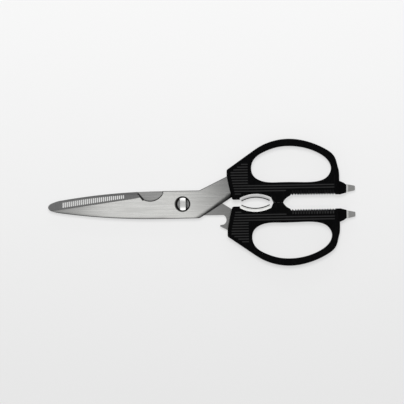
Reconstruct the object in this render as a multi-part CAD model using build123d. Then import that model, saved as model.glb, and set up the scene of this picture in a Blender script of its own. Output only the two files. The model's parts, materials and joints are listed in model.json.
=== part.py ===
from build123d import *
from math import atan, cos, degrees, radians, sin, tan
import os

# Kitchen shears that come apart for washing: two steel blades on one stud, and two black
# moulded handles with finger loops, a toothed mouth, steel cracker jaws and screwdriver tips.
# Lengths are in millimetres and angles in degrees.
# Everything is drawn with the pivot axis at X = Y = 0, the closed blades along -X, the handles
# along +X and the plane between the two blades at Z = 0. The front half is drawn; the rear half
# is the same shape turned half a turn about the X axis. At the end all pieces move together,
# so that the origin is the middle of the overall box, on the plane that the shears lie on.

# Blades
blade_reach = 100.45
blade_edge_height = 9.95
blade_spine_depth = 10.75
blade_thickness = 3.0
blade_tip_thickness = 1.9
blade_gap = 0.1
blade_rim_chamfer = 0.5
tip_drop = 0.9
heel_reach = 12.4
heel_radius = 5.0
rear_blade_inset = 0.55
rear_spine_inset = 0.05

# Points of the blade's outline, as shares of its reach and of its height or depth. The first
# arc_points of each list lie on an arc, the others round the tip.
arc_points = 3
blade_edge_shares = [
    (0.15, 1.0), (0.6, 0.798), (0.916, 0.395), (0.9587, 0.266), (0.9886, 0.121),
]
blade_spine_shares = [
    (0.15, 1.0), (0.6, 0.834), (0.916, 0.486), (0.9587, 0.395), (0.9886, 0.274),
]

# Ground faces of the blades
bevel_toe_drop = 4.1
bevel_heel_reach = 35.4
bevel_heel_height = 4.7
bevel_angle = 13.5
rear_bevel_end_reach = 14.0
edge_land = 0.15
edge_angle = 45.0

# Scaler strokes across the front blade's ground face
stroke_pitch = 1.5
stroke_width = 0.8
stroke_depth = 0.2
stroke_first_reach = 89.2
stroke_last_reach = 44.2
stroke_rim = 1.8
stroke_foot = 1.4

# Bone notch in the front blade's edge
notch_toe_reach = 33.6
notch_heel_reach = 15.0
notch_heel_height = 8.2
notch_floor_reach = 28.6
notch_floor_height = 3.7
notch_low_reach = 23.0
notch_low_height = 2.85
notch_bevel = 0.6
notch_bevel_angle = 45.0
notch_ramp_width = 1.5
notch_ramp_depth = 1.5

# Arms and tangs
arm_upper_height = 20.0
arm_lower_height = 2.2
arm_roll_start_width = 1.6
arm_roll_end_width = 4.4
arm_roll_radius = 5.8
tang_shoulder = 5.0
tang_knee = 4.0
tang_neck = 13.0
tang_length = 67.0
tang_low = 8.9
tang_height = 4.0
tang_corner_radius = 1.0

# Lid lifter in the rear arm
lifter_step = 1.25
lifter_start_reach = 9.0
lifter_run_in = 5.0
lifter_setback = 0.6
lifter_throat_round = 2.2
lifter_hook_reach = 27.6
lifter_lip = 1.2
lifter_hook_rise = 0.4

# Pivot stud
stud_neck_radius = 3.5
stud_running_clearance = 0.05
stud_head_length = 9.6
stud_head_width = 4.6
stud_head_lift = 0.1
stud_head_proud = 0.2
stud_head_chamfer = 0.3
stud_foot_radius = 5.4
stud_foot_height = 1.3
stud_foot_chamfer = 0.6
counterbore_radius = 5.5
counterbore_depth = 1.4
counterbore_groove_width = 1.1
counterbore_groove_depth = 0.6
slot_clearance = 0.25
release_angle = 100.0

# Handles
handle_front = 33.0
handle_length = 83.9
handle_height = 47.3
handle_thickness = 11.0
handle_edge_radius = 2.0
handle_corner_radius = 1.6
handle_gap = 0.02
handle_foot_height = 2.5
handle_foot_radius = 1.8
hole_edge_radius = 1.5
block_length = 18.35
bow_width = 5.45
bow_end_width = 6.0
hole_low = 14.95

# Points of the handle's outline, as shares of its length and height
handle_front_shares = [(0.0465, 0.058), (0.0244, 0.211), (0.0, 0.433), (0.0, 0.526)]
handle_bow_shares = [
    (0.25, 0.835), (0.393, 0.958), (0.564, 1.0), (0.739, 0.944),
    (0.882, 0.831), (0.964, 0.695), (0.9875, 0.55), (1.0, 0.3235),
]

# Points of the finger hole, as shares of its own length and height
finger_hole_shares = [
    (0.0, 0.385), (0.048, 0.678), (0.179, 0.864), (0.347, 0.98), (0.498, 1.0),
    (0.683, 0.939), (0.851, 0.79), (0.968, 0.574), (1.0, 0.366), (0.945, 0.125),
    (0.817, 0.013), (0.582, 0.0), (0.347, 0.004), (0.145, 0.035), (0.038, 0.165),
]

# Nose and toothed mouth
nose_start_reach = 67.6
nose_end_reach = 74.7
mouth_height = 5.25
mouth_throat_length = 10.5
mouth_throat_share = (0.276, 0.67)
tooth_pitch = 2.0
tooth_width = 1.8
tooth_depth = 1.2
tooth_first_reach = 81.0
tooth_last_reach = 113.0
mouth_strip_height = 3.9
mouth_strip_depth = 0.35

# Collars that carry the screwdriver tips
collar_length = 5.0
collar_low = 5.1
collar_high = 15.3
collar_thickness = 8.0
collar_end_low = 6.4
collar_end_high = 12.4
collar_shoulder_length = 3.0
collar_shoulder_drop = 1.3
collar_chamfer = 0.7

# Grip grooves on the handle's faces
groove_first_height = 6.8
groove_top_share = 0.609
groove_rows = 12
groove_width = 1.1
groove_depth = 0.45
groove_inset = 2.9
groove_low_reach = 43.5
groove_middle_reach = 77.0
groove_long_reach = 113.0
groove_block_rim = 2.6

# Cracker jaws
jaw_centre_reach = 54.2
jaw_top_height = 6.7
jaw_outer_radius = 25.0
jaw_thickness = 2.95
jaw_half_angle = 27.9
jaw_width = 8.6
jaw_chamfer = 0.7
jaw_key_height = 1.2
jaw_key_width = 2.4
jaw_key_half_angle = 15.0

# Screwdriver tips
driver_length = 6.6
driver_centre_height = 9.75
driver_base_width = 6.1
driver_end_width = 3.4
driver_corner_radius = 0.7
driver_thickness = 3.0
driver_end_thickness = 0.9
driver_flat_length = 1.4
driver_shank_length = 9.0
driver_shank_width = 5.0

# How far every cutter runs past what it cuts, and how near counts as touching
overrun = 2.0
tolerance = 0.02

# Derived places
blade_inner = blade_gap / 2
blade_outer = blade_inner + blade_thickness
handle_half = handle_thickness / 2
handle_back = handle_front + handle_length
handle_parting = handle_gap / 2
hole_front = handle_front + block_length
hole_length = handle_length - block_length - bow_end_width
hole_height = handle_height - bow_width - hole_low
arm_upper_slope = (arm_upper_height - blade_edge_height) / (handle_front - heel_reach)
arm_lower_slope = (arm_lower_height + blade_spine_depth) / (handle_front - heel_reach)
bevel_slope = (bevel_heel_height + bevel_toe_drop) / (blade_reach - bevel_heel_reach)
groove_pitch = (handle_height * groove_top_share - groove_first_height) / (groove_rows - 1)
collar_end = handle_back + collar_length
jaw_centre_height = jaw_top_height - jaw_outer_radius


def slab(face, low, high):
    """The face, drawn at Z = 0, as a plate from one height to another."""
    return Pos(0, 0, low) * extrude(face, amount=high - low)


def plate(face, thickness):
    """The face as a plate with half its thickness on each side of Z = 0."""
    return slab(face, -thickness / 2, thickness / 2)


def closed_face(*points):
    """The face inside straight lines from point to point."""
    return make_face(Polyline(*points, close=True))


def flipped(piece):
    """The piece turned half a turn about the X axis, as the rear half of the shears is."""
    return Rot(180, 0, 0) * piece


def arm_top(reach):
    """Height of the arm's upper edge at a distance from the pivot."""
    return blade_edge_height + (reach - heel_reach) * arm_upper_slope


# Blades with their arms and tangs

def side_points(shares, reach, height):
    """Points along one long side of a blade, from the pivot towards the tip."""
    return [(-reach * along, height * up) for along, up in shares]


def side_arc(shares, reach, height):
    """The curved part of one long side, from the pivot to where the nose begins."""
    return ThreePointArc(*side_points(shares, reach, height)[:arc_points])


def blade_face(reach, height, depth, edge_shares, spine_shares, drop):
    """Outline of one blade with its arm and tang."""
    high = side_points(edge_shares, reach, height)
    low = side_points(spine_shares, reach, -depth)
    edge = ThreePointArc(*high[:arc_points])
    spine = ThreePointArc(*reversed(low[:arc_points]))
    rounding = high[arc_points - 1:] + [(-reach, -drop)] + low[:arc_points - 2:-1]
    nose = Spline(rounding, tangents=[edge % 1, spine % 0])
    heel_low = (heel_reach + (blade_spine_depth - depth) / arm_lower_slope, -depth)
    shoulder = handle_front + tang_shoulder
    tang_end = handle_front + tang_length
    rest = FilletPolyline(
        spine @ 1,
        heel_low,
        arm_knee(),
        (handle_front + tang_neck, tang_low),
        (tang_end, tang_low),
        (tang_end, tang_low + tang_height),
        (handle_front + tang_neck, tang_low + tang_height),
        (shoulder, arm_top(shoulder)),
        (heel_reach, height),
        edge @ 0,
        radius=[heel_radius] + [tang_corner_radius] * 7,
    )
    return make_face([edge, nose, spine, rest])


def ground_plane(toe, heel, angle):
    """Plane through the line from toe to heel, falling by an angle towards the cutting edge."""
    along = heel - toe
    across = Vector(0, cos(radians(angle)), -sin(radians(angle)))
    return Plane(origin=toe, x_dir=along, z_dir=along.cross(across))


def taper_plane():
    """Plane of the outer face where the blade thins towards its tip."""
    toe = Vector(-blade_reach, 0, blade_inner + blade_tip_thickness)
    heel = Vector(-bevel_heel_reach, 0, blade_outer)
    return ground_plane(toe, heel, 0)


def taper_cutter():
    """Block that thins the blade towards its tip."""
    length = blade_reach - bevel_heel_reach + overrun
    width = blade_edge_height + blade_spine_depth
    block = Pos(length / 2 - overrun, 0, width / 2) * Box(length, 2 * width, width)
    return taper_plane() * block


def spine_cutter(arc):
    """Ring wedge that carries the chamfer of the spine on along the tapered face."""
    rise = blade_thickness
    kept = Cone(arc.radius + rise / 2, arc.radius - rise / 2, rise)
    kept = Pos(arc.arc_center.X + blade_reach, arc.arc_center.Y, 0) * kept
    length = blade_reach - bevel_heel_reach + overrun
    block = Pos(length / 2, -blade_spine_depth, 0) * Box(length, 2 * blade_spine_depth, rise)
    return taper_plane() * Pos(0, 0, -blade_rim_chamfer) * (block - kept)


def bevel_plane():
    """Plane of the ground face, through its boundary line on the tapered outer face."""
    toe = Vector(-blade_reach, -bevel_toe_drop, blade_inner + blade_tip_thickness)
    heel = Vector(-bevel_heel_reach, bevel_heel_height, blade_outer)
    return ground_plane(toe, heel, bevel_angle)


def bevel_cutter(end_reach):
    """Block that grinds the outer face down towards the cutting edge, from the tip to end_reach."""
    length = blade_reach - end_reach + overrun
    width = blade_edge_height + blade_spine_depth
    block = Pos(length / 2 - overrun, width / 2, width / 2) * Box(length, width, width)
    keep = Pos(-end_reach - length, 0, 0) * Box(2 * length, 4 * width, 4 * width)
    return bevel_plane() * block & keep


def edge_cutter(arc, end_reach):
    """Ring wedge that grinds the narrow edge facet along the curved cutting edge."""
    rise = blade_thickness
    outer = arc.radius
    foot = blade_inner + edge_land
    kept = Cone(outer, outer - rise / tan(radians(edge_angle)), rise)
    kept = Pos(arc.arc_center.X, arc.arc_center.Y, foot + rise / 2) * kept
    length = blade_reach - end_reach + overrun
    block = Pos(-end_reach - length / 2, blade_edge_height, foot + rise / 2)
    block = block * Box(length, 2 * blade_edge_height, rise)
    return block - kept


def scaler_strokes():
    """Short round-bottomed grooves across the front blade's ground face."""
    radius = (stroke_width ** 2 / 4 + stroke_depth ** 2) / (2 * stroke_depth)
    plane = bevel_plane()
    strokes = []
    count = int((stroke_first_reach - stroke_last_reach) / stroke_pitch) + 1
    edge = side_arc(blade_edge_shares, blade_reach, blade_edge_height)
    for number in range(count):
        reach = stroke_first_reach - number * stroke_pitch
        line_height = -bevel_toe_drop + (blade_reach - reach) * bevel_slope
        fall = reach + edge.arc_center.X
        top = edge.arc_center.Y + (edge.radius ** 2 - fall ** 2) ** 0.5
        length = top - line_height - stroke_rim - stroke_foot
        along = (blade_reach - reach) * (1 + bevel_slope ** 2) ** 0.5
        middle = stroke_foot + length / 2
        upright = Rot(0, 0, -degrees(atan(bevel_slope))) * Rot(90, 0, 0)
        bar = Pos(along, middle, radius - stroke_depth) * upright * Cylinder(radius, length)
        strokes.append(plane * bar)
    return strokes


def notch_face():
    """Outline of the bone notch, open past the cutting edge."""
    top = blade_edge_height + overrun
    toe = (-notch_toe_reach - overrun, top)
    floor = (-notch_floor_reach, notch_floor_height)
    heel = (-notch_heel_reach, notch_heel_height)
    low = (-notch_low_reach, notch_low_height)
    return make_face([
        Line(toe, floor),
        ThreePointArc(floor, low, heel),
        Line(heel, (-notch_heel_reach, top)),
        Line((-notch_heel_reach, top), toe),
    ])


def slope_cutter(start, end, width, depth, lead):
    """Wedge that slopes the outer face down to the line from start to end, from its left side.

    It begins a lead before the start.
    """
    line = Line(start, end)
    slope = degrees(atan(depth / width))
    side = 2 * (width + depth)
    length = line.length + lead
    block = Pos(length / 2 - lead, -side / 2, side / 2) * Box(length, side, side)
    tilted = Pos(0, width, blade_outer) * Rot(slope, 0, 0) * block
    return Plane(origin=start, x_dir=line % 0, z_dir=(0, 0, 1)) * tilted


def arm_foot():
    """Where the arm's lower edge starts on the front blade's spine."""
    return (heel_reach, -blade_spine_depth)


def arm_knee():
    """Where the arm's lower edge turns into the tang, inside the handle."""
    return (handle_front + tang_knee, arm_lower_height + tang_knee * arm_lower_slope)


def roll_cutter():
    """Cutter that rolls the arm's outer face down towards its lower edge, wider at the handle."""
    foot = Vector(*arm_foot())
    knee = Vector(*arm_knee())
    run = knee - foot
    inwards = Vector(-run.Y, run.X).normalized()
    line = Line(foot + inwards * arm_roll_start_width, knee + inwards * arm_roll_end_width)
    lead = arm_roll_end_width + overrun
    length = line.length + lead
    block = Pos(0, -arm_roll_radius / 2, 0) * Box(length, arm_roll_radius, 2 * arm_roll_radius)
    kept = Pos(0, 0, -arm_roll_radius) * Rot(0, 90, 0) * Cylinder(arm_roll_radius, length + overrun)
    start = Plane(origin=line @ 0, x_dir=line % 0, z_dir=(0, 0, 1))
    return start * Pos(length / 2 - lead, 0, blade_outer) * (block - kept)


def blade_blank(reach, height, depth, edge_shares, spine_shares, drop, bevel_end_reach):
    """One blade with its arm, tang and ground faces, before its holes."""
    face = blade_face(reach, height, depth, edge_shares, spine_shares, drop)
    blank = slab(face, blade_inner, blade_outer)
    arc = side_arc(edge_shares, reach, height)
    tip_end = arc @ 1
    rims = [edge for edge in blank.edges().group_by(Axis.Z)[-1] if edge.center().X > tip_end.X]
    blank = chamfer(rims, blade_rim_chamfer)
    blank -= taper_cutter()
    blank -= spine_cutter(side_arc(spine_shares, reach, -depth))
    blank -= bevel_cutter(bevel_end_reach)
    blank -= edge_cutter(arc, bevel_end_reach)
    blank -= roll_cutter()
    return blank


def head_bar(clearance, low, high):
    """The stud's bar head with rounded ends, or the slot that it passes through."""
    round_part = Cylinder(stud_head_length / 2 + clearance, high - low)
    flats = Box(stud_head_width + 2 * clearance, 2 * stud_head_length, high - low)
    return Pos(0, 0, (low + high) / 2) * (round_part & flats)


def front_blade():
    """The blade on top in use, with the bone notch, the strokes and the take-apart bore."""
    notch_end_reach = (notch_floor_reach + notch_heel_reach) / 2
    blade = blade_blank(
        blade_reach, blade_edge_height, blade_spine_depth,
        blade_edge_shares, blade_spine_shares, tip_drop, notch_end_reach,
    )
    blade -= scaler_strokes()
    blade -= slab(notch_face(), blade_inner - overrun, blade_outer + overrun)
    flare = extrude(notch_face(), amount=notch_bevel + overrun, taper=-notch_bevel_angle)
    blade -= Pos(0, 0, blade_outer - notch_bevel) * flare
    floor = (-notch_floor_reach, notch_floor_height)
    toe = (-notch_toe_reach, blade_edge_height)
    blade -= slope_cutter(floor, toe, notch_ramp_width, notch_ramp_depth, 0)
    depth = blade_outer - blade_inner + 2 * overrun
    blade -= Cylinder(stud_neck_radius + stud_running_clearance, depth)
    ledge = blade_outer - counterbore_depth
    bore_height = counterbore_depth + overrun
    blade -= Pos(0, 0, ledge + bore_height / 2) * Cylinder(counterbore_radius, bore_height)
    groove = Cylinder(counterbore_radius, 2 * counterbore_groove_depth)
    groove -= Cylinder(counterbore_radius - counterbore_groove_width, 2 * counterbore_groove_depth)
    blade -= Pos(0, 0, ledge) * groove
    slot = head_bar(slot_clearance, blade_inner - overrun, ledge + overrun)
    blade -= Rot(0, 0, -release_angle) * slot
    return blade


def lifter_face():
    """Outline of the lid lifter's notch, in the upper half's position."""
    level = blade_edge_height - lifter_step
    top = arm_upper_height + overrun
    throat = handle_front - lifter_setback
    hook_low = arm_top(lifter_hook_reach) - lifter_lip
    start = (lifter_start_reach, blade_edge_height)
    floor_start = (lifter_start_reach + lifter_run_in, level)
    floor_end = (throat - lifter_throat_round, level)
    middle = (throat, (level + hook_low) / 2)
    hook_root = (throat - lifter_throat_round, hook_low - lifter_hook_rise)
    hook_tip = (lifter_hook_reach, hook_low)
    return make_face([
        Line(start, floor_start),
        Line(floor_start, floor_end),
        ThreePointArc(floor_end, middle, hook_root),
        Line(hook_root, hook_tip),
        Line(hook_tip, (lifter_hook_reach, top)),
        Line((lifter_hook_reach, top), (lifter_start_reach, top)),
        Line((lifter_start_reach, top), start),
    ])


def rear_blade():
    """The blade underneath, a mirrored outline with the lid lifter and the stud's hole."""
    reach = blade_reach - rear_blade_inset
    height = blade_edge_height - rear_blade_inset
    spine_depth = blade_edge_height - rear_spine_inset
    blade = blade_blank(
        reach, height, spine_depth,
        blade_spine_shares, blade_edge_shares, -tip_drop, rear_bevel_end_reach,
    )
    blade -= slab(lifter_face(), blade_inner - overrun, blade_outer + overrun)
    depth = blade_outer - blade_inner + 2 * overrun
    blade -= Cylinder(stud_neck_radius, depth + blade_outer)
    return flipped(blade)


def pivot_stud():
    """Riveted foot, round neck and bar head; the head sits in the front blade's counterbore."""
    ledge = blade_outer - counterbore_depth
    head_low = ledge + stud_head_lift
    neck_height = head_low + blade_outer
    neck = Pos(0, 0, head_low - neck_height / 2) * Cylinder(stud_neck_radius, neck_height)
    head = head_bar(0, head_low, blade_outer + stud_head_proud)
    head = chamfer(head.edges().group_by(Axis.Z)[-1], stud_head_chamfer)
    foot = Cylinder(stud_foot_radius, stud_foot_height)
    foot = chamfer(foot.edges().group_by(Axis.Z)[0], stud_foot_chamfer)
    foot = Pos(0, 0, -blade_outer - stud_foot_height / 2) * foot
    return foot + neck + head


# Handles

def handle_point(share):
    """Place on the handle's outline from its shares of length and height."""
    return (handle_front + handle_length * share[0], handle_height * share[1])


def handle_face():
    """Outline of the handle without its mouth, carried down past the parting line."""
    foot, waist, crown, corner = [handle_point(share) for share in handle_front_shares]
    bow_points = [handle_point(share) for share in handle_bow_shares]
    slope = Vector(*bow_points[0]) - Vector(*corner)
    below = -handle_edge_radius - overrun
    front = ThreePointArc(foot, waist, crown)
    shoulder = FilletPolyline(crown, corner, bow_points[0], radius=handle_corner_radius)
    bow = Spline(*bow_points, tangents=(slope, Vector(0, -1)))
    back_foot = (handle_back, below)
    front_foot = (foot[0], below)
    return make_face([
        front,
        shoulder,
        bow,
        Line(bow_points[-1], back_foot),
        Line(back_foot, front_foot),
        Line(front_foot, foot),
    ])


def finger_hole_face():
    """Outline of the finger hole."""
    points = [
        (hole_front + hole_length * along, hole_low + hole_height * up)
        for along, up in finger_hole_shares
    ]
    return make_face(Spline(*points, periodic=True))


def throat_arc():
    """Curve from the nose into the mouth."""
    rise = mouth_height - handle_parting
    middle = (
        nose_end_reach + mouth_throat_length * mouth_throat_share[0],
        handle_parting + rise * mouth_throat_share[1],
    )
    end = (nose_end_reach + mouth_throat_length, mouth_height)
    return ThreePointArc((nose_end_reach, handle_parting), middle, end)


def mouth_level(reach):
    """Height of the mouth's edge at a distance from the pivot."""
    arc = throat_arc()
    if reach > nose_end_reach + mouth_throat_length:
        return mouth_height
    return arc.arc_center.Y + (arc.radius ** 2 - (reach - arc.arc_center.X) ** 2) ** 0.5


def foot_curve():
    """Lower edge of the handle's front, with its rounded corner, from in front of it to the jaw."""
    foot, waist = [handle_point(share) for share in handle_front_shares[:2]]
    near = handle_front - overrun
    return FilletPolyline(
        (near, waist[1]),
        (waist[0] - tolerance, waist[1]),
        (foot[0] - tolerance, handle_foot_height),
        (jaw_corner(jaw_outer_radius, jaw_half_angle)[0], handle_foot_height),
        radius=[0, handle_foot_radius],
    )


def mouth_face():
    """What lies below the handle's working side: foot, jaw seat, nose and mouth."""
    outer_start = jaw_corner(jaw_outer_radius, jaw_half_angle)
    outer_end = jaw_corner(jaw_outer_radius, -jaw_half_angle)
    jaw_top = (jaw_centre_reach, jaw_top_height)
    nose_start = (nose_start_reach, handle_parting)
    throat = throat_arc()
    far = collar_end + overrun
    near = handle_front - overrun
    below = -handle_height
    foot = foot_curve()
    return make_face([
        Line((near, below), foot @ 0),
        foot,
        Line(foot @ 1, outer_start),
        ThreePointArc(outer_start, jaw_top, outer_end),
        Line(outer_end, nose_start),
        Line(nose_start, throat @ 0),
        throat,
        Line(throat @ 1, (handle_back, mouth_height)),
        Line((handle_back, mouth_height), (handle_back, collar_low)),
        Line((handle_back, collar_low), (far, collar_low)),
        Line((far, collar_low), (far, below)),
        Line((far, below), (near, below)),
    ])


def tooth_cutters():
    """Notches through the handle along the mouth."""
    cutters = []
    count = int((tooth_last_reach - tooth_first_reach) / tooth_pitch) + 1
    for number in range(count):
        reach = tooth_first_reach + number * tooth_pitch
        level = mouth_level(reach)
        notch = closed_face(
            (reach - tooth_width, level - tooth_depth),
            (reach + tooth_width, level - tooth_depth),
            (reach, level + tooth_depth),
        )
        cutters.append(plate(notch, handle_thickness + 2 * overrun))
    return cutters


def mouth_strip_cutters():
    """Shallow recesses in both faces of the handle along the teeth, where its short ribs stand."""
    length = tooth_last_reach - tooth_first_reach + tooth_pitch
    middle = (tooth_first_reach + tooth_last_reach) / 2
    width = mouth_strip_height + mouth_height - handle_parting
    strip = Box(length, width, 2 * mouth_strip_depth)
    place = handle_parting + width / 2
    return [Pos(middle, place, side * handle_half) * strip for side in (-1, 1)]


def groove_start(height):
    """Where a groove at this height starts, clear of the handle's front and sloping edges."""
    foot, waist, crown, corner = [handle_point(share) for share in handle_front_shares]
    slope_end = handle_point(handle_bow_shares[0])
    lean = max(0, crown[1] - height) * (foot[0] - crown[0]) / (crown[1] - foot[1])
    run = Vector(*slope_end) - Vector(*corner)
    clear_height = height + groove_inset * run.length / run.X
    slope_start = corner[0] + (clear_height - corner[1]) * run.X / run.Y
    return max(handle_front + lean + groove_inset, slope_start)


def groove_end(row):
    """Where the groove of this row ends."""
    ends = [groove_low_reach, groove_middle_reach, groove_long_reach, groove_long_reach]
    if row < len(ends):
        return ends[row]
    return hole_front - groove_block_rim


def groove_cutters():
    """Round-bottomed grooves for both faces of the handle."""
    radius = (groove_width ** 2 / 4 + groove_depth ** 2) / (2 * groove_depth)
    cutters = []
    for row in range(groove_rows):
        height = groove_first_height + row * groove_pitch
        start = groove_start(height)
        length = groove_end(row) - start
        level = handle_half + radius - groove_depth
        bar = Rot(0, 90, 0) * Cylinder(radius, length)
        for side in (-1, 1):
            cutters.append(Pos(start + length / 2, height, side * level) * bar)
    return cutters


def collar():
    """The boss at the back of the handle that holds the screwdriver tip."""
    root = handle_back - bow_end_width
    shoulder = handle_back + collar_shoulder_length
    face = closed_face(
        (root, collar_low),
        (handle_back, collar_low),
        (collar_end, collar_end_low),
        (collar_end, collar_end_high),
        (shoulder, collar_high - collar_shoulder_drop),
        (handle_back, collar_high),
        (root, collar_high),
    )
    boss = plate(face, collar_thickness)
    rims = boss.edges().group_by(Axis.Z)[0] + boss.edges().group_by(Axis.Z)[-1]
    return chamfer(rims, collar_chamfer)


def handle_blank():
    """The upper handle before the steel pieces take their room in it."""
    body = plate(handle_face(), handle_thickness)
    rims = body.edges().group_by(Axis.Z)[0] + body.edges().group_by(Axis.Z)[-1]
    body = fillet(rims, handle_edge_radius)
    hole = plate(finger_hole_face(), handle_thickness + 2 * overrun)
    body -= hole
    body = fillet([edge for edge in body.edges() if is_hole_rim(edge)], hole_edge_radius)
    body += collar()
    body -= plate(mouth_face(), handle_thickness + 2 * overrun)
    body -= tooth_cutters()
    body -= mouth_strip_cutters()
    body -= groove_cutters()
    return body


def is_hole_rim(edge):
    """True for the edges where the finger hole meets the handle's two flat faces."""
    box = edge.bounding_box()
    slack = handle_edge_radius / 2
    flat = abs(abs(edge.center().Z) - handle_half) < tolerance
    right = box.min.X > hole_front - slack
    left = box.max.X < hole_front + hole_length + slack
    above = box.min.Y > hole_low - slack
    below = box.max.Y < hole_low + hole_height + slack
    return flat and right and left and above and below


# Steel pieces in the handles

def jaw_corner(radius, angle):
    """Place on a jaw arc, at an angle from its middle towards the pivot."""
    turn = radians(angle)
    return (jaw_centre_reach - radius * sin(turn), jaw_centre_height + radius * cos(turn))


def jaw_sector(inner, outer, half_angle):
    """Face between two arcs about the jaw's centre."""
    arcs = [
        ThreePointArc(*[jaw_corner(radius, turn * half_angle) for turn in (-1, 0, 1)])
        for radius in (inner, outer)
    ]
    return make_face(arcs + [Line(arcs[0] @ end, arcs[1] @ end) for end in (0, 1)])


def jaw_insert():
    """Polished crescent with a key that holds it in the moulding."""
    inner = jaw_outer_radius - jaw_thickness
    band = plate(jaw_sector(inner, jaw_outer_radius, jaw_half_angle), jaw_width)
    rims = [
        edge for edge in band.edges().filter_by(GeomType.CIRCLE)
        if edge.radius < jaw_outer_radius - jaw_thickness / 2
    ]
    band = chamfer(rims, jaw_chamfer)
    middle = jaw_outer_radius - jaw_thickness / 2
    key = plate(jaw_sector(middle, jaw_outer_radius + jaw_key_height, jaw_key_half_angle), jaw_key_width)
    return band + key


def driver_tip():
    """Flat screwdriver tip with a shank inside the collar."""
    end = collar_end + driver_length
    start = collar_end - driver_shank_length
    half_shank = driver_shank_width / 2
    half_base = driver_base_width / 2
    half_end = driver_end_width / 2
    middle = driver_centre_height
    outline = FilletPolyline(
        (start, middle - half_shank),
        (collar_end, middle - half_shank),
        (collar_end, middle - half_base),
        (end, middle - half_end),
        (end, middle + half_end),
        (collar_end, middle + half_base),
        (collar_end, middle + half_shank),
        (start, middle + half_shank),
        radius=[0, 0, driver_corner_radius, driver_corner_radius, 0, 0],
    )
    plan = plate(make_face([outline, Line(outline @ 1, outline @ 0)]), 2 * driver_thickness)
    half_thick = driver_thickness / 2
    half_edge = driver_end_thickness / 2
    flat_end = collar_end + driver_flat_length
    side = closed_face(
        (start, -half_thick),
        (flat_end, -half_thick),
        (end, -half_edge),
        (end, half_edge),
        (flat_end, half_thick),
        (start, half_thick),
    )
    wedge = Pos(0, middle, 0) * Rot(90, 0, 0) * plate(side, 2 * driver_base_width)
    return plan & wedge


# The whole

blade_front = front_blade()
blade_rear = rear_blade()
jaw = jaw_insert()
tip = driver_tip()
handle = handle_blank()

pieces = {
    "front_blade": blade_front,
    "rear_blade": blade_rear,
    "pivot_stud": pivot_stud(),
    "upper_handle": handle - blade_front - jaw - tip,
    "lower_handle": flipped(handle) - blade_rear - flipped(jaw) - flipped(tip),
    "upper_jaw_insert": jaw,
    "lower_jaw_insert": flipped(jaw),
    "upper_screwdriver_tip": tip,
    "lower_screwdriver_tip": flipped(tip),
}

whole = Compound([solid for piece in pieces.values() for solid in piece.solids()]).bounding_box()
origin = Vector((whole.min.X + whole.max.X) / 2, (whole.min.Y + whole.max.Y) / 2, whole.min.Z)

os.makedirs("parts", exist_ok=True)
for name, piece in pieces.items():
    export_step(Pos(-origin) * piece, f"parts/{name}.step")
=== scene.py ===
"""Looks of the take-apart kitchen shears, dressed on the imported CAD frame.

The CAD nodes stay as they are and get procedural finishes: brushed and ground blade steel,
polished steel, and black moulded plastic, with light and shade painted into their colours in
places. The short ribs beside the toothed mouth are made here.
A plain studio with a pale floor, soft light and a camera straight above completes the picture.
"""
import json
import logging
import math
from dataclasses import dataclass
from enum import Enum
from typing import Any, Optional, Union

import bpy
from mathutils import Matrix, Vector


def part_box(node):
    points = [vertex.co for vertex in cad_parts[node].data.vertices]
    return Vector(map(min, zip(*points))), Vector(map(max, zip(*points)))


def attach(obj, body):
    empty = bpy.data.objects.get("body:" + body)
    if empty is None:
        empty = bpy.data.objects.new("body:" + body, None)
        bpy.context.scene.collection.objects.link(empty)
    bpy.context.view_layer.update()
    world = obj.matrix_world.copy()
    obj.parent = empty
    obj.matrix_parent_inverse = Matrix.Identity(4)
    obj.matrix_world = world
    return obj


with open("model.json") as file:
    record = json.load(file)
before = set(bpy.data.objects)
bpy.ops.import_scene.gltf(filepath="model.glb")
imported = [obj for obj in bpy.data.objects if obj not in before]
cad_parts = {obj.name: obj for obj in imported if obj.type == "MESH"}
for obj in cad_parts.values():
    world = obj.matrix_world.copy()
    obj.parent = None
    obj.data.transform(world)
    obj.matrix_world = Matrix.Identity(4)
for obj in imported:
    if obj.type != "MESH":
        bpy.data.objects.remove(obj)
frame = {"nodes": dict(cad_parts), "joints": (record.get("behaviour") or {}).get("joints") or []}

logging.basicConfig(level=logging.INFO, format="%(message)s")
log = logging.getLogger("shears")

MM = 0.001
NOISE_MEAN = 0.5
PIVOT = Vector(frame["joints"][0]["pos_m"])
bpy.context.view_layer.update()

Colour = tuple[float, float, float]
WHITE: Colour = (1.0, 1.0, 1.0)
Number = Union[float, "Link"]


class Half(Enum):
    """The two halves of the shears; the rear one is the front one turned over about the X axis."""

    FRONT = 1
    REAR = -1

    @property
    def body(self) -> str:
        """Name of the CAD body that this half's pieces ride on."""
        return "front_half" if self is Half.FRONT else "rear_half"


class Slot(Enum):
    """Material slots of the record."""

    BLADE = "blade_steel"
    POLISHED = "polished_steel"
    PLASTIC = "handle_plastic"


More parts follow.
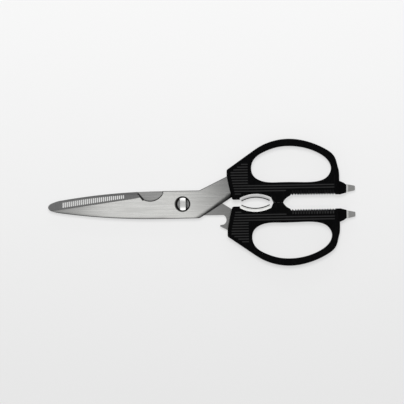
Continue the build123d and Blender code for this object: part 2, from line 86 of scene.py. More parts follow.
class Link:
    """An output socket, with the operators that shader maths is written in."""

    def __init__(self, graph: "Graph", socket: bpy.types.NodeSocket) -> None:
        """Keeps the socket and the graph that it belongs to."""
        self.graph = graph
        self.socket = socket

    def _maths(self, operation: str, first: Number, second: Number = 0.0) -> "Link":
        """Adds one Math node on two values."""
        return self.graph.node("ShaderNodeMath", {"operation": operation}, {0: first, 1: second})

    def __add__(self, other: Number) -> "Link":
        """Sum of two values."""
        return self._maths("ADD", self, other)

    __radd__ = __add__

    def __sub__(self, other: Number) -> "Link":
        """Difference of two values."""
        return self._maths("SUBTRACT", self, other)

    def __rsub__(self, other: Number) -> "Link":
        """Difference of two values, with this one taken away."""
        return self._maths("SUBTRACT", other, self)

    def __mul__(self, other: Number) -> "Link":
        """Product of two values."""
        return self._maths("MULTIPLY", self, other)

    __rmul__ = __mul__

    def __truediv__(self, other: Number) -> "Link":
        """Quotient of two values."""
        return self._maths("DIVIDE", self, other)

    def __abs__(self) -> "Link":
        """The value without its sign."""
        return self._maths("ABSOLUTE", self)

    def greater(self, other: Number) -> "Link":
        """The greater of two values."""
        return self._maths("MAXIMUM", self, other)

    def reach(self, other: "Link") -> "Link":
        """Distance from where this value and another one are both 0."""
        return self._maths("SQRT", self * self + other * other)

    def fold(self, pitch: float) -> "Link":
        """Distance to the nearest whole multiple of a pitch."""
        return self._maths("PINGPONG", self, pitch / 2)

    def rise(self, low: float, high: float) -> "Link":
        """A smooth step from 0 at low to 1 at high.

        Args:
            low: Value below which the result is 0.
            high: Value above which the result is 1.

        Returns:
            The step's value.
        """
        inputs = {"Value": self, "From Min": low, "From Max": high}
        return self.graph.node("ShaderNodeMapRange", {"interpolation_type": "SMOOTHSTEP"}, inputs)

    def step(self, middle: float, soft: float) -> "Link":
        """A smooth step from 0 to 1 that fades a little way to both sides of its middle."""
        return self.rise(middle - soft, middle + soft)

    def band(self, low: float, high: float, edge: float) -> "Link":
        """A mask that is 1 between low and high and fades over an edge inside them."""
        return self.rise(low, low + edge) * (1 - self.rise(high - edge, high))


class Graph:
    """The node tree of a material or a world, filled through one method."""

    def __init__(self, owner: Union[bpy.types.Material, bpy.types.World]) -> None:
        """Clears the tree and gives it its output node.

        Args:
            owner: The material or the world.
        """
        owner.use_nodes = True
        self.owner = owner
        self.tree = owner.node_tree
        self.tree.nodes.clear()
        kind = "World" if isinstance(owner, bpy.types.World) else "Material"
        self.output = self.tree.nodes.new("ShaderNodeOutput" + kind)

    @classmethod
    def material(cls, name: str) -> "Graph":
        """The tree of a new material."""
        return cls(bpy.data.materials.new(name))

    def end(self, shader: Link) -> Union[bpy.types.Material, bpy.types.World]:
        """Links the last shader to the output and gives back the tree's owner."""
        self.tree.links.new(shader.socket, self.output.inputs["Surface"])
        return self.owner

    def shown(self) -> Link:
        """Tells what the camera and mirrors see from what lights matt surfaces.

        Returns:
            1 for the rays of the camera and of shiny and clear surfaces, and 0 for the others.
        """
        kinds = ("Is Camera Ray", "Is Glossy Ray", "Is Transmission Ray")
        seen, shiny, through = (self.node("ShaderNodeLightPath", output=kind) for kind in kinds)
        return seen.greater(shiny).greater(through)

    def node(
        self,
        kind: str,
        settings: Optional[dict[str, Any]] = None,
        inputs: Optional[dict[Union[int, str], Any]] = None,
        output: Union[int, str] = 0,
    ) -> Link:
        """Adds one node.

        Args:
            kind: The node's type name.
            settings: Its properties, set before its sockets.
            inputs: A value or a link for each socket, by name or place.
            output: Name or place of the output that is used.

        Returns:
            That output.
        """
        made = self.tree.nodes.new(kind)
        for key, value in (settings or {}).items():
            setattr(made, key, value)
        for key, value in (inputs or {}).items():
            socket = made.inputs[key]
            if isinstance(value, Link):
                self.tree.links.new(value.socket, socket)
            else:
                socket.default_value = value
        return Link(self, made.outputs[output])

    def split(self, vector: Link) -> tuple[Link, Link, Link]:
        """The three parts of a vector."""
        made = self.node("ShaderNodeSeparateXYZ", inputs={0: vector}).socket.node
        return tuple(Link(self, socket) for socket in made.outputs)

    def place(self, half: Half) -> tuple[Link, Link, Link]:
        """Position from the pivot in millimetres, as if the piece were in the front half.

        Args:
            half: The half that the piece is in.

        Returns:
            The distances along, across and up.
        """
        x, y, z = self.split(self.node("ShaderNodeTexCoord", output="Object"))
        turn = half.value / MM
        return (x - PIVOT.x) / MM, (y - PIVOT.y) * turn, (z - PIVOT.z) * turn

    def facing(self, half: Half) -> tuple[Link, Link, Link]:
        """Parts of the surface's normal, as if the piece were in the front half.

        Args:
            half: The half that the piece is in.

        Returns:
            The normal's parts along, across and up.
        """
        x, y, z = self.split(self.node("ShaderNodeTexCoord", output="Normal"))
        return x, y * half.value, z * half.value

    def mix(self, share: Number, first: Union[Colour, Link], second: Union[Colour, Link]) -> Link:
        """Blend of two colours.

        Args:
            share: Share of the second colour.
            first: The first colour.
            second: The second colour.

        Returns:
            The blended colour.
        """
        shown = [value if isinstance(value, Link) else (*value, 1.0) for value in (first, second)]
        inputs = {0: share, 6: shown[0], 7: shown[1]}
        return self.node("ShaderNodeMix", {"data_type": "RGBA"}, inputs, output=2)

    def bump(self, height: Number, distance: float) -> Link:
        """Normal of a surface with small heights on it.

        Args:
            height: The pattern of heights.
            distance: Height in metres that a value of 1 stands for.

        Returns:
            The normal.
        """
        return self.node("ShaderNodeBump", inputs={"Height": height, "Distance": distance})

    def surface(self, **sockets: Any) -> bpy.types.Material:
        """Ends the material in a Principled shader.

        Args:
            sockets: A value or a link for each socket, with underscores for spaces.

        Returns:
            The material.
        """
        inputs = {key.replace("_", " "): value for key, value in sockets.items()}
        return self.end(self.node("ShaderNodeBsdfPrincipled", inputs=inputs))


def along(x: Link, y: Link, angle: float) -> Link:
    """Distance along a direction that is turned from X by an angle in degrees."""
    turn = math.radians(angle)
    return x * math.cos(turn) + y * math.sin(turn)


@dataclass(frozen=True)
class Noise:
    """A smooth noise pattern, with how fast it changes along, across and up per millimetre."""

    scale: tuple[float, float, float]
    detail: float
    seed: float

    def on(self, graph: Graph, place: tuple[Link, Link, Link]) -> Link:
        """The pattern on a surface.

        Args:
            graph: The material's tree.
            place: Position on the surface in millimetres.

        Returns:
            A value about NOISE_MEAN.
        """
        scaled = {part: length * self.scale[part] for part, length in enumerate(place)}
        where = graph.node("ShaderNodeCombineXYZ", inputs=scaled)
        inputs = {"Vector": where, "W": self.seed, "Detail": self.detail, "Scale": 1.0}
        return graph.node("ShaderNodeTexNoise", {"noise_dimensions": "4D"}, inputs)


@dataclass(frozen=True)
class Arc:
    """A long arc that bounds a blade, in millimetres from the pivot."""

    x: float
    y: float
    radius: float

    def depth(self, x: Link, y: Link) -> Link:
        """How far inside the arc a place is."""
        return self.radius - (x - self.x).reach(y - self.y)


@dataclass(frozen=True)
class BladeSteel:
    """Brushed sheet steel with painted shade on its chamfers, rolled edges, spine, arm and notch
    and round the stud, darker where ground partly as painted shade, and with scaler strokes
    painted bright partly as a painted highlight.

    Places are in millimetres from the pivot and angles in degrees. A pair that ends in facing or
    tilt holds the parts of the normal between which a mask rises. The marks, which are the strokes
    and the notch painted dark as shade, have the share 1 on the front blade and 0 on the plain
    rear one.
    """

    half: Half
    marks: float = 1.0
    soft: float = 0.1
    sharp: float = 0.08

    sheet: Colour = (0.575, 0.575, 0.56)
    dull: Colour = (0.34, 0.34, 0.33)
    # Ground bevel: darker partly by its grind finish and partly as painted shade.
    ground: Colour = (0.30, 0.30, 0.30)
    # Face that lies on the other blade: darker partly by its hollow grind and partly as painted
    # shade from the front blade.
    mating: Colour = (0.29, 0.29, 0.285)
    # Painted shade on the rolled arm edge, on the notch's walls and by the heel.
    rolled: Colour = (0.025, 0.025, 0.025)
    side: Colour = (0.38, 0.38, 0.37)
    # Scaler strokes: bright partly by their ground finish and partly as a painted highlight.
    stroke: Colour = (0.92, 0.92, 0.91)
    # Painted shade on the counterbore floor and on the other blade's face seen through the slot.
    ledge: Colour = (0.17, 0.17, 0.17)
    # Painted shade, near black, in the ring round the stud and beside its bar, and painted shadow
    # on the rim round its seat.
    groove: Colour = (0.008, 0.008, 0.008)
    # Painted shade on the leaning chamfers along the cutting side.
    cutting_edge_shade: Colour = (0.14, 0.14, 0.14)
    # Dark tone: painted shade on the arm and along the spine, the darkening towards the tip, and
    # worn patches on the ground and mating faces.
    arm: Colour = (0.10, 0.10, 0.10)

    outer_facing: tuple[float, float] = (0.3, 0.5)
    mating_facing: tuple[float, float] = (-0.9, -0.6)
    grind_facing: tuple[float, float] = (0.13, 0.42)
    grind_fade: float = 0.04
    level_facing: float = 0.05
    side_tilt: tuple[float, float] = (0.86, 0.97)
    rolled_tilt: tuple[float, float] = (0.0, 0.6)
    cutting_tilt: tuple[float, float] = (0.05, 0.3)

    bevel_toe: tuple[float, float] = (-100.45, -4.1)
    bevel_heel: tuple[float, float] = (-35.4, 4.7)
    strokes: tuple[float, float] = (-89.2, -44.2)
    stroke_margin: float = 0.6
    stroke_pitch: float = 1.5
    stroke_width: float = 0.8
    stroke_foot: float = 1.4
    stroke_rim: float = 1.8
    stroke_matt: float = 0.75

    spine: Arc = Arc(-18.127, 485.154, 495.914)
    edge: Arc = Arc(-16.565, -465.67, 475.623)
    spine_shade: tuple[float, float] = (0.2, 2.0)
    spine_end: tuple[float, float] = (-16.0, -10.0)
    spine_share: float = 0.45
    tip_fade: tuple[float, float] = (-95.0, -50.0)
    tip_share: float = 0.65
    notch_reach: tuple[float, float] = (-33.7, -14.3)
    notch_top: float = 9.2

    seat_radius: float = 5.5
    seat_height: tuple[float, float] = (0.3, 3.0)
    groove_radius: float = 4.4
    ring_shift: float = 0.3
    slot_radius: float = 5.25
    bar_gap: tuple[float, float] = (2.2, 3.4)
    rim: tuple[float, float] = (5.2, 5.95)
    rim_shift: float = 0.35
    rim_fade: float = 0.15
    rim_share: float = 0.85

    heel: tuple[float, float] = (12.4, -10.75)
    heel_rise: float = 32.16
    heel_shade: tuple[float, float] = (0.3, 3.4)
    heel_reach: tuple[float, float] = (6.0, 30.0)
    heel_fade: float = 5.0
    heel_share: float = 0.9
    arm_rise: float = 27.0
    arm_fade: tuple[float, float] = (-6.0, 46.0)
    arm_share: float = 0.85
    arm_spared: float = 0.25

    brushed: Noise = Noise((0.035, 2.1, 2.1), 5.0, 1.0)
    fine: Noise = Noise((0.09, 14.0, 14.0), 3.0, 2.0)
    crossed: Noise = Noise((5.5, 0.25, 0.25), 4.0, 3.0)
    blotch: Noise = Noise((0.06, 0.1, 0.1), 2.0, 4.0)
    crossed_weight: float = 1.4
    fine_weight: float = 0.5
    streak_wear: float = 0.5
    blotch_wear: float = 0.3
    mean_wear: float = 0.3
    fine_height: float = 0.6
    bump_height: float = 0.000012
    roughness: float = 0.30
    streak_roughness: float = 0.22
    grind_roughness: float = 0.06
    side_roughness: float = 0.15
    stroke_gloss: float = 0.1

    def stroke_mask(self, x: Link, y: Link) -> Link:
        """Where the scaler strokes are.

        Args:
            x: Distance along the blade.
            y: Distance across it.

        Returns:
            A mask.
        """
        (toe_x, toe_y), (heel_x, heel_y) = self.bevel_toe, self.bevel_heel
        first, last = self.strokes
        above = y - toe_y - (x - toe_x) * ((heel_y - toe_y) / (heel_x - toe_x))
        off = (x - first).fold(self.stroke_pitch)
        mask = 1 - off.step(self.stroke_width / 2, self.sharp)
        mask = mask * x.band(first - self.stroke_margin, last + self.stroke_margin, self.soft)
        mask = mask * above.step(self.stroke_foot, self.soft)
        return mask * self.edge.depth(x, y).step(self.stroke_rim, self.soft)

    def stud_masks(self, x: Link, y: Link, z: Link, mating: Link) -> tuple[Link, Link]:
        """What lies round the stud, below the blade's outer face.

        Args:
            x: Distance along the blade.
            y: Distance across it.
            z: Distance up.
            mating: Mask of the face that lies on the other blade.

        Returns:
            A mask of the counterbore floor and the slot, painted dull as shade, and one of the
            ring round the stud and the line beside the bar, painted black as shade.
        """
        radius = x.reach(y)
        foot, top = self.seat_height
        inside = 1 - radius.rise(self.seat_radius, self.seat_radius + self.sharp)
        # The other blade's face seen through the slot is painted dull as shade.
        slot_shade = (1 - radius.step(self.slot_radius, self.soft)) * mating
        floor = (inside * z.band(foot, top, self.soft / 2)).greater(slot_shade)
        sunk = 1 - radius.step(self.seat_radius + self.soft, self.soft / 2)
        sunk = sunk * z.rise(foot, foot + self.soft)
        # Painted shade in the ring round the stud, shifted to one side like a cast shadow.
        ring = (x - self.ring_shift).reach(y)
        ring = ring.rise(self.groove_radius - self.soft, self.groove_radius)
        # Painted shadow in a line beside the bar.
        line = floor * x.band(*self.bar_gap, self.soft)
        return floor, (ring * sunk.greater(slot_shade)).greater(line)

    def material(self) -> bpy.types.Material:
        """Builds the material.

        Returns:
            The material for a blade of this half.
        """
        graph = Graph.material(f"blade_steel_{self.half.name.lower()}")
        x, y, z = place = graph.place(self.half)
        facing_x, facing_y, facing_z = graph.facing(self.half)
        tilt = facing_x.reach(facing_y)
        outer = facing_z.rise(*self.outer_facing)
        mating = 1 - facing_z.rise(*self.mating_facing)
        grind = facing_y.band(*self.grind_facing, self.grind_fade) * outer
        side = tilt.rise(*self.side_tilt)
        leaning = (1 - side) * outer * (1 - grind)
        stroke = self.stroke_mask(x, y) * outer * self.marks
        floor, ring = self.stud_masks(x, y, z, mating)

        # The notch's leaning walls count as facing down, so they get the painted shade of the
        # rolled edges.
        in_notch = x.band(*self.notch_reach, self.soft) * (1 - y.step(self.notch_top, self.soft))
        below = (1 - facing_y.step(0.0, self.level_facing)).greater(in_notch * self.marks)
        # Painted shade on leaning faces that face down, such as the rolled arm edge.
        rolled = tilt.rise(*self.rolled_tilt) * leaning * below
        # Painted shade on leaning faces that face up, along the cutting side.
        cutting = tilt.rise(*self.cutting_tilt) * leaning * (1 - below)
        # Painted shade near the arm's lower edge by the heel, standing in for the rolled edge's
        # dark reflection.
        above = along(x - self.heel[0], y - self.heel[1], self.heel_rise + 90)
        painted_heel_shade = x.band(*self.heel_reach, self.heel_fade) * (1 - above.rise(*self.heel_shade))
        # Painted shade that grows along the arm towards the handle, standing in for the dark
        # handle's reflection.
        arm_shade = along(x, y, self.arm_rise).rise(*self.arm_fade) * (1 - side)
        # Painted shade along the spine, fading out towards the pivot.
        by_spine = 1 - self.spine.depth(x, y).rise(*self.spine_shade)
        by_spine = by_spine * (1 - x.rise(*self.spine_end)) * outer
        # Painted shadow on the face just outside the stud's seat, shifted to one side.
        rim = (x + self.rim_shift).reach(y).band(*self.rim, self.rim_fade)
        rim = rim * outer * z.rise(self.seat_height[1] - self.soft, self.seat_height[1])

        patterns = (self.brushed, self.fine, self.crossed, self.blotch)
        brushed, fine, crossed, blotch = (pattern.on(graph, place) for pattern in patterns)
        streak = (brushed - NOISE_MEAN) * (1 - grind)
        streak = streak + (crossed - NOISE_MEAN) * grind * self.crossed_weight
        streak = streak + (fine - NOISE_MEAN) * self.fine_weight
        worn = streak * self.streak_wear + (blotch - NOISE_MEAN) * self.blotch_wear
        worn = (worn + self.mean_wear).rise(0.0, 1.0)

        base = graph.mix(worn, self.sheet, self.dull)
        # Layers over the steel: the blade darkens towards its tip; the ground and mating faces are
        # darker partly by finish and partly as painted shade; the strokes are bright partly as a
        # painted highlight; the arm, heel, rolled and cutting-side edges, spine, counterbore
        # floor, ring and rim are painted shade and shadow; the side walls keep their own colour.
        layers = (
            ((1 - x.rise(*self.tip_fade)) * self.tip_share, self.arm),
            (grind, graph.mix(worn, self.ground, self.arm)),
            (stroke, self.stroke),
            (mating, graph.mix(worn, self.mating, self.arm)),
            (arm_shade * (self.arm_share - mating * self.arm_spared), self.arm),
            (side, self.side),
            (painted_heel_shade * leaning * self.heel_share, self.rolled),
            (rolled, self.rolled),
            (cutting, self.cutting_edge_shade),
            (by_spine * self.spine_share, self.arm),
            (floor, self.ledge),
            (ring, self.groove),
            (rim * self.marks * self.rim_share, self.groove),
        )
        for share, colour in layers:
            base = graph.mix(share, base, colour)

        rough = self.roughness + streak * self.streak_roughness + grind * self.grind_roughness
        rough = rough + side * self.side_roughness - stroke * self.stroke_gloss
        height = brushed * (1 - grind) + crossed * grind + fine * self.fine_height
        return graph.surface(
            Base_Color=base,
            Metallic=1 - stroke * self.stroke_matt,
            Roughness=rough,
            Normal=graph.bump(height, self.bump_height),
        )


@dataclass(frozen=True)
class PolishedSteel:
    """Polished steel with faint hairlines and clouds."""

    name: str
    colour: Colour = (0.42, 0.42, 0.415)
    roughness: float = 0.2
    cloud_colour: Colour = (0.30, 0.30, 0.295)
    cloud_rise: tuple[float, float] = (0.35, 0.75)
    cloud_share: float = 0.2
    hair: Noise = Noise((0.6, 7.0, 7.0), 4.0, 5.0)
    cloud: Noise = Noise((0.3, 0.3, 0.3), 2.0, 6.0)
    hair_roughness: float = 0.16
    cloud_roughness: float = 0.12
    hair_height: float = 0.000006

    def tone(self, graph: Graph) -> Union[Colour, Link]:
        """Colour of the clean steel, which the other polished finishes vary over the piece."""
        return self.colour

    def material(self) -> bpy.types.Material:
        """Builds the material.

        Returns:
            The material.
        """
        graph = Graph.material(self.name)
        place = graph.place(Half.FRONT)
        hair = self.hair.on(graph, place)
        cloud = self.cloud.on(graph, place)
        clouded = cloud.rise(*self.cloud_rise) * self.cloud_share
        rough = self.roughness + (hair - NOISE_MEAN) * self.hair_roughness
        return graph.surface(
            Base_Color=graph.mix(clouded, self.tone(graph), self.cloud_colour),
            Metallic=1.0,
            Roughness=rough + (cloud - NOISE_MEAN) * self.cloud_roughness,
            Normal=graph.bump(hair, self.hair_height),
        )


@dataclass(frozen=True)
class JawSteel(PolishedSteel):
    """Polished steel of a cracker jaw, with painted light that grows towards its outer arc and
    painted shade on its chamfer.
    """

    half: Half = Half.FRONT
    outer_highlight: Colour = (0.50, 0.50, 0.495)
    chamfer_shade: Colour = (0.10, 0.10, 0.10)
    centre: tuple[float, float] = (54.2, -18.3)
    fade: tuple[float, float] = (22.3, 24.8)
    chamfer_reach: tuple[float, float] = (22.6, 23.0)
    chamfer_tilt: tuple[float, float] = (0.2, 0.95)
    chamfer_fade: float = 0.15

    def tone(self, graph: Graph) -> Link:
        """Colour by the distance from the jaw's centre as painted light, with painted shade where
        the surface leans.

        Args:
            graph: The material's tree.

        Returns:
            The colour.
        """
        x, y, _ = graph.place(self.half)
        facing_x, facing_y, _ = graph.facing(self.half)
        radius = (x - self.centre[0]).reach(y - self.centre[1])
        # Painted light that grows towards the outer arc, standing in for the shading of a rounded
        # face.
        base = graph.mix(radius.rise(*self.fade), self.colour, self.outer_highlight)
        # Painted shade on the leaning chamfer along the inner arc.
        leaning = facing_x.reach(facing_y).band(*self.chamfer_tilt, self.chamfer_fade)
        inward = 1 - radius.rise(*self.chamfer_reach)
        return graph.mix(leaning * inward, base, self.chamfer_shade)


@dataclass(frozen=True)
class StudSteel(PolishedSteel):
    """Steel of the pivot stud, with a painted highlight towards the bar's ends, painted shade on
    the neck and a painted shadow beside the bar.
    """

    end_highlight: Colour = (0.95, 0.95, 0.94)
    neck_shade: Colour = (0.19, 0.19, 0.19)
    gap_shadow: Colour = (0.012, 0.012, 0.012)
    bar_width: float = 4.6
    bar_foot: float = 2.3
    gap_width: float = 1.1
    fade: tuple[float, float] = (1.4, 4.4)
    soft: float = 0.1

    def tone(self, graph: Graph) -> Link:
        """Colour by the distance from the bar's middle as a painted highlight, with painted shade
        on the neck and a painted shadow beside the bar.

        Args:
            graph: The material's tree.

        Returns:
            The colour.
        """
        x, y, z = graph.place(Half.FRONT)
        head_side = z.rise(0.0, self.soft)
        # Painted highlight that brightens the bar towards its ends.
        base = graph.mix(abs(y).rise(*self.fade) * head_side, self.colour, self.end_highlight)
        # Painted shade on the neck below the bar.
        neck = (1 - z.rise(self.bar_foot, self.bar_foot + self.soft)) * head_side
        base = graph.mix(neck, base, self.neck_shade)
        # Painted shadow in a line beside the bar.
        gap_foot = self.bar_width / 2
        gap = x.band(gap_foot, gap_foot + self.gap_width, self.soft)
        return graph.mix(neck * gap, base, self.gap_shadow)


@dataclass(frozen=True)
class MouldedPlastic:
    """Black moulded plastic with a fine grain, rubbed high spots that on the ribs are painted
    highlights, and grip grooves painted paler as dust and as a painted highlight.
    """

    name: str = "handle_plastic"
    colour: Colour = (0.0016, 0.0016, 0.0018)
    # Paler high spots: rubbed wear on the handles, and a painted highlight on the crests of the
    # ribs.
    worn: Colour = (0.004, 0.004, 0.0043)
    dust_and_highlight: Colour = (0.030, 0.030, 0.0305)
    dust_patches: float = 0.6
    dust_least: float = 0.7
    specular: float = 0.025
    soft: float = 0.1

    face: float = 5.5
    skin: float = 0.02
    rubbed_depth: float = 0.25
    rubbed_rise: tuple[float, float] = (0.45, 0.75)
    seam_edge: tuple[float, float] = (0.03, 0.12)

    groove_depth: float = 0.5
    groove_start: float = 6.0
    groove_first: float = 6.8
    groove_pitch: float = 2.0
    groove_width: float = 1.1
    groove_fade: float = 0.25
    groove_lean: tuple[float, float] = (-0.06, -0.03)
    grip_end: float = 49.5
    long_rows: tuple[float, float] = (9.8, 13.9)
    long_end: float = 113.8
    short_end: float = 77.4

    grain: Noise = Noise((6.0, 6.0, 6.0), 2.0, 7.0)
    flow: Noise = Noise((0.12, 0.12, 0.12), 3.0, 8.0)
    scuff: Noise = Noise((1.2, 0.35, 1.2), 5.0, 9.0)
    roughness: float = 0.45
    flow_roughness: float = 0.14
    grain_roughness: float = 0.1
    rubbed_gloss: float = 0.08
    dust_roughness: float = 0.1
    grain_height: float = 0.5
    seam_height: float = 1.5
    bump_height: float = 0.00003

    def grooves(self, x: Link, y: Link, z: Link, lean: Link) -> Link:
        """Where the grip grooves are.

        Args:
            x: Distance along the handle.
            y: Distance across it.
            z: Distance up.
            lean: How far the surface faces along the handle.

        Returns:
            A mask.
        """
        across = abs(y)
        half_width = self.groove_width / 2
        off = (across - self.groove_first).fold(self.groove_pitch)
        mask = 1 - off.rise(half_width - self.groove_fade, half_width)
        floor = self.face - self.groove_depth
        mask = mask * abs(z).band(floor, self.face - self.skin, self.skin)
        grip = 1 - x.step(self.grip_end, 2 * self.soft)
        lowest, low_rows = (1 - across.step(row, self.soft) for row in self.long_rows)
        beside = low_rows * (1 - x.step(self.long_end, 2 * self.soft))
        beside = beside * (1 - lowest * x.step(self.short_end, 2 * self.soft))
        mask = mask * grip.greater(beside) * across.step(self.groove_start, self.soft)
        return mask * lean.rise(*self.groove_lean)

    def material(self) -> bpy.types.Material:
        """Builds the material.

        Returns:
            The material.
        """
        graph = Graph.material(self.name)
        x, y, z = place = graph.place(Half.FRONT)
        patterns = (self.grain, self.flow, self.scuff)
        grain, flow, scuff = (pattern.on(graph, place) for pattern in patterns)
        high = abs(z).rise(self.face - self.rubbed_depth, self.face - self.skin)
        rubbed_and_sheen = high * scuff.rise(*self.rubbed_rise)
        groove = self.grooves(x, y, z, graph.facing(Half.FRONT)[0])
        base = graph.mix(rubbed_and_sheen, self.colour, self.worn)
        # The grip grooves are painted paler, partly as dust and partly as a painted highlight on
        # their walls.
        base = graph.mix(groove * (scuff * self.dust_patches + self.dust_least), base, self.dust_and_highlight)
        rough = self.roughness + (flow - NOISE_MEAN) * self.flow_roughness
        rough = rough + (grain - NOISE_MEAN) * self.grain_roughness
        rough = rough - rubbed_and_sheen * self.rubbed_gloss + groove * self.dust_roughness
        seam = 1 - abs(z).rise(*self.seam_edge)
        height = grain * self.grain_height + seam * self.seam_height
        return graph.surface(
            Base_Color=base,
            Roughness=rough,
            Specular_IOR_Level=self.specular,
            Normal=graph.bump(height, self.bump_height),
        )


def coat(node: str, material: bpy.types.Material) -> None:
    """Gives a CAD node its finish.

    Args:
        node: Name of the CAD node.
        material: The finish.
    """
    shown = frame["nodes"][node]
    shown.data.materials.clear()
    shown.data.materials.append(material)


@dataclass
class RibRow:
    """A row of short half-round ribs on both faces of a handle, made by a Geometry Nodes tree."""

    name: str
    half: Half
    finish: bpy.types.Material
    count: int = 16
    pitch: float = 2.0
    first_reach: float = 82.0
    low: float = 6.5
    high: float = 8.9
    width: float = 1.1
    height: float = 0.33
    floor: float = 5.15
    ring_steps: int = 16

    def tree(self) -> bpy.types.NodeTree:
        """Builds the tree: a line of points, a rib on each, and the same row on the other face.

        Returns:
            The node tree.
        """
        tree = bpy.data.node_groups.new(self.name, "GeometryNodeTree")
        new_socket = tree.interface.new_socket
        new_socket("Geometry", in_out="OUTPUT", socket_type="NodeSocketGeometry")
        new_socket("Count", in_out="INPUT", socket_type="NodeSocketInt")
        for label in ("Start", "Step", "Rib Scale", "Rib Foot", "Rib Head", "Other Face"):
            new_socket(label, in_out="INPUT", socket_type="NodeSocketVector")
        new_socket("Material", in_out="INPUT", socket_type="NodeSocketMaterial")

        def add(kind: str, links: dict[Union[int, str], Any], **settings: Any) -> bpy.types.Node:
            """Adds one node.

            Args:
                kind: The node's type name after "GeometryNode".
                links: A socket or a value for each input, by name or place.
                settings: The node's properties, set before its inputs.

            Returns:
                The node.
            """
            node = tree.nodes.new("GeometryNode" + kind)
            for key, value in settings.items():
                setattr(node, key, value)
            for key, value in links.items():
                if isinstance(value, bpy.types.NodeSocket):
                    tree.links.new(value, node.inputs[key])
                else:
                    node.inputs[key].default_value = value
            return node

        given = tree.nodes.new("NodeGroupInput").outputs
        line = add(
            "MeshLine",
            {"Count": given["Count"], "Start Location": given["Start"], "Offset": given["Step"]},
            mode="OFFSET",
        )
        spine = add("CurvePrimitiveLine", {"Start": given["Rib Foot"], "End": given["Rib Head"]})
        ring = add("CurvePrimitiveCircle", {"Resolution": self.ring_steps, "Radius": 1.0})
        rod = add(
            "CurveToMesh",
            {"Curve": spine.outputs[0], "Profile Curve": ring.outputs[0], "Fill Caps": True},
        )
        row = add(
            "InstanceOnPoints",
            {"Points": line.outputs[0], "Instance": rod.outputs[0], "Scale": given["Rib Scale"]},
        )
        other = add("Transform", {"Geometry": row.outputs[0], "Translation": given["Other Face"]})
        both = add("JoinGeometry", {0: row.outputs[0]})
        tree.links.new(other.outputs[0], both.inputs[0])
        real = add("RealizeInstances", {0: both.outputs[0]})
        dressed = add("SetMaterial", {0: real.outputs[0], "Material": given["Material"]})
        tree.links.new(dressed.outputs[0], tree.nodes.new("NodeGroupOutput").inputs[0])
        return tree

    def sizes(self) -> dict[str, Any]:
        """The tree's inputs by name, in metres in the row's frame.

        Returns:
            A value for each named input.
        """
        foot = self.low if self.half is Half.FRONT else -self.high
        return {
            "Count": self.count,
            "Start": PIVOT + Vector((self.first_reach, foot, self.floor)) * MM,
            "Step": Vector((self.pitch * MM, 0, 0)),
            "Rib Scale": Vector((self.width / 2 * MM, 1.0, self.height * MM)),
            "Rib Foot": Vector((0, 0, 0)),
            "Rib Head": Vector((0, (self.high - self.low) * MM, 0)),
            "Other Face": Vector((0, 0, -2 * self.floor * MM)),
            "Material": self.finish,
        }

    def build(self) -> bpy.types.Object:
        """Runs the tree once and keeps its mesh.

        Returns:
            The ribs as one plain mesh object that rides on its half.
        """
        tree = self.tree()
        label = self.name + "_carrier"
        carrier = bpy.data.objects.new(label, bpy.data.meshes.new(label))
        bpy.context.scene.collection.objects.link(carrier)
        modifier = carrier.modifiers.new(self.name, "NODES")
        modifier.node_group = tree
        values = self.sizes()
        for item in tree.interface.items_tree:
            if item.in_out == "INPUT":
                modifier[item.identifier] = values[item.name]
        evaluated = carrier.evaluated_get(bpy.context.evaluated_depsgraph_get())
        mesh = bpy.data.meshes.new_from_object(evaluated)
        mesh.name = self.name
        bpy.data.objects.remove(carrier)
        ribs = bpy.data.objects.new(self.name, mesh)
        bpy.context.scene.collection.objects.link(ribs)
        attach(ribs, self.half.body)
        return ribs


@dataclass
class Blades:
    """The two blades and the stud that joins them."""

    front: BladeSteel = BladeSteel(Half.FRONT)
    rear: BladeSteel = BladeSteel(Half.REAR, marks=0.0, spine=Arc(-16.474, 462.907, 472.81))
    stud: StudSteel = StudSteel("stud_steel")

    def dress(self) -> None:
        """Gives both blades and the stud their steel."""
        coat("front_blade", self.front.material())
        coat("rear_blade", self.rear.material())
        coat("pivot_stud", self.stud.material())
        log.info("blades: two blades and their stud in steel")


@dataclass(frozen=True)
class HandleLooks:
    """Finishes of one handle's ribs and of the cracker jaw in it, toned per handle as painted
    light and shade.
    """

    name: str
    half: Half
    jaw: JawSteel
    ribs: MouldedPlastic


# The two handles get lit and shaded copies of the same finishes: the upper jaw and ribs are
# painted darker as shade, the lower ones lighter as light, and the ribs' paler plastic and crests
# are painted highlights.
UPPER_LOOKS = HandleLooks(
    name="upper",
    half=Half.FRONT,
    jaw=JawSteel("upper_jaw_steel", (0.27, 0.27, 0.27)),
    ribs=MouldedPlastic("upper_rib_plastic", (0.008, 0.008, 0.0085), (0.02, 0.02, 0.021)),
)
LOWER_LOOKS = HandleLooks(
    name="lower",
    half=Half.REAR,
    jaw=JawSteel(
        "lower_jaw_steel", (0.42, 0.42, 0.41), half=Half.REAR, outer_highlight=(0.70, 0.70, 0.69),
    ),
    ribs=MouldedPlastic("lower_rib_plastic", (0.022, 0.022, 0.0225), (0.05, 0.05, 0.051)),
)


@dataclass
class Handles:
    """The two moulded handles with the steel pieces set in them."""

    plastic: MouldedPlastic = MouldedPlastic()
    tip: PolishedSteel = PolishedSteel("driver_steel", (0.46, 0.46, 0.45), 0.3)
    looks: tuple[HandleLooks, ...] = (UPPER_LOOKS, LOWER_LOOKS)

    def dress(self) -> None:
        """Gives the handles, their ribs, the jaws and the screwdriver tips their finishes."""
        plastic = self.plastic.material()
        tip = self.tip.material()
        for look in self.looks:
            coat(f"{look.name}_handle", plastic)
            coat(f"{look.name}_jaw_insert", look.jaw.material())
            coat(f"{look.name}_screwdriver_tip", tip)
            ribs = RibRow(f"{look.name}_mouth_ribs", look.half, look.ribs.material()).build()
            faces = len(ribs.data.polygons)
            log.info("%s handle: plastic, jaw, tip and %d faces of mouth ribs", look.name, faces)


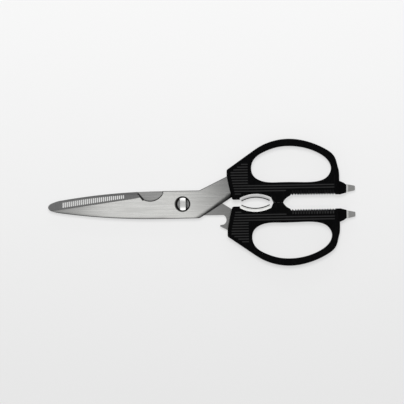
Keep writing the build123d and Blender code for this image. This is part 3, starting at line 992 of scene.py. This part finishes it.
def overhead(angle: float, reach: float) -> Vector:
    """Place at an angle in degrees from straight up, leaning beyond the upper handle."""
    turn = math.radians(angle)
    return Vector((0, math.sin(turn), math.cos(turn))) * reach


@dataclass(frozen=True)
class Panel:
    """A soft panel light that points at the middle of the floor, in metres."""

    name: str
    place: Vector
    size: tuple[float, float]
    radiance: float
    mirrored: bool = True

    def hang(self) -> None:
        """Adds the light, which shiny surfaces show only where it is mirrored."""
        light = bpy.data.lights.new(self.name, "AREA")
        light.shape = "RECTANGLE"
        light.size, light.size_y = self.size
        light.energy = self.radiance * math.pi * self.size[0] * self.size[1]
        lamp = bpy.data.objects.new(self.name, light)
        lamp.location = self.place
        lamp.rotation_mode = "QUATERNION"
        lamp.rotation_quaternion = (-self.place).to_track_quat("-Z", "Y")
        lamp.visible_glossy = self.mirrored
        bpy.context.scene.collection.objects.link(lamp)


@dataclass
class Studio:
    """Pale floor, soft lights and the camera straight above the shears.

    The pixel size, the centre and the reach of the floor's fade are in millimetres.
    """

    picture_pixels: int = 404
    pixel_size: float = 0.745
    centre: tuple[float, float] = (14.3, 1.3)
    turn: float = 1.0
    lens: float = 400.0
    sensor: float = 36.0
    near_colour: Colour = (0.80, 0.80, 0.80)
    far_colour: Colour = (0.95, 0.95, 0.95)
    fade_reach: float = 240.0
    glow_share: float = 0.68
    floor_reach: float = 30.0
    floor_drop: float = 0.00005
    ambient: float = 0.22
    horizon: Colour = (0.92, 0.92, 0.92)
    zenith: Colour = (0.42, 0.42, 0.42)
    panels: tuple[Panel, ...] = (
        Panel("overhead", Vector((-0.1, -0.15, 2.2)), (1.5, 1.1), 0.95),
        Panel("key", overhead(12, 2.3), (0.65, 0.65), 26.0, mirrored=False),
        Panel("rim", overhead(60, 2.3), (1.6, 0.5), 1.5),
    )

    def floor_material(self) -> bpy.types.Material:
        """Pale floor that keeps the shadows, a little paler to the camera and to shiny surfaces.

        Returns:
            The material.
        """
        graph = Graph.material("floor")
        _, y, _ = graph.place(Half.FRONT)
        # The floor's colour is painted darker towards the near side, a painted fall-off of the
        # light.
        tone = graph.mix(y.step(0.0, self.fade_reach), self.near_colour, self.far_colour)
        matt = graph.node("ShaderNodeBsdfDiffuse", inputs={"Color": tone})
        glow = graph.node("ShaderNodeEmission", inputs={"Color": tone, "Strength": 1.0})
        graph.owner.cycles.emission_sampling = "NONE"
        share = graph.shown() * self.glow_share
        return graph.end(graph.node("ShaderNodeMixShader", inputs={0: share, 1: matt, 2: glow}))

    def build_floor(self) -> None:
        """Lays the floor just under the shears."""
        place = (0, 0, -self.floor_drop)
        bpy.ops.mesh.primitive_plane_add(size=2 * self.floor_reach, location=place)
        floor = bpy.context.object
        floor.name = "floor"
        floor.data.materials.append(self.floor_material())

    def build_world(self) -> None:
        """Makes the even light all round, and the pale surroundings that shiny surfaces show."""
        graph = Graph(bpy.data.worlds.new("studio"))
        _, _, up = graph.split(graph.node("ShaderNodeTexCoord", output="Generated"))
        shown = graph.shown()
        sky = graph.mix(up.rise(0.0, 1.0), self.horizon, self.zenith)
        inputs = {
            "Color": graph.mix(shown, WHITE, sky),
            "Strength": shown * (1 - self.ambient) + self.ambient,
        }
        world = graph.end(graph.node("ShaderNodeBackground", inputs=inputs))
        world.cycles.sampling_method = "NONE"
        bpy.context.scene.world = world

    def build_camera(self) -> None:
        """Puts the camera straight above the picture's middle, turned as the photograph is."""
        width = self.picture_pixels * self.pixel_size * MM
        camera = bpy.data.cameras.new("camera")
        camera.lens = self.lens
        camera.sensor_width = self.sensor
        holder = bpy.data.objects.new("camera", camera)
        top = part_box("front_blade")[1].z
        distance = width * self.lens / self.sensor
        middle = PIVOT + Vector((self.centre[0] * MM, self.centre[1] * MM, 0))
        holder.location = (middle.x, middle.y, top + distance)
        holder.rotation_euler = (0, 0, -math.radians(self.turn))
        bpy.context.scene.collection.objects.link(holder)
        bpy.context.scene.camera = holder

    def build(self) -> None:
        """Builds the whole studio and sets how colours are shown."""
        self.build_floor()
        self.build_world()
        for panel in self.panels:
            panel.hang()
        self.build_camera()
        bpy.context.scene.view_settings.view_transform = "Standard"
        log.info("studio: floor, world, %d lights and camera", len(self.panels))


def main() -> None:
    """Builds the shears' looks and the studio, in order."""
    Blades().dress()
    Handles().dress()
    Studio().build()


if __name__ == "__main__":
    main()
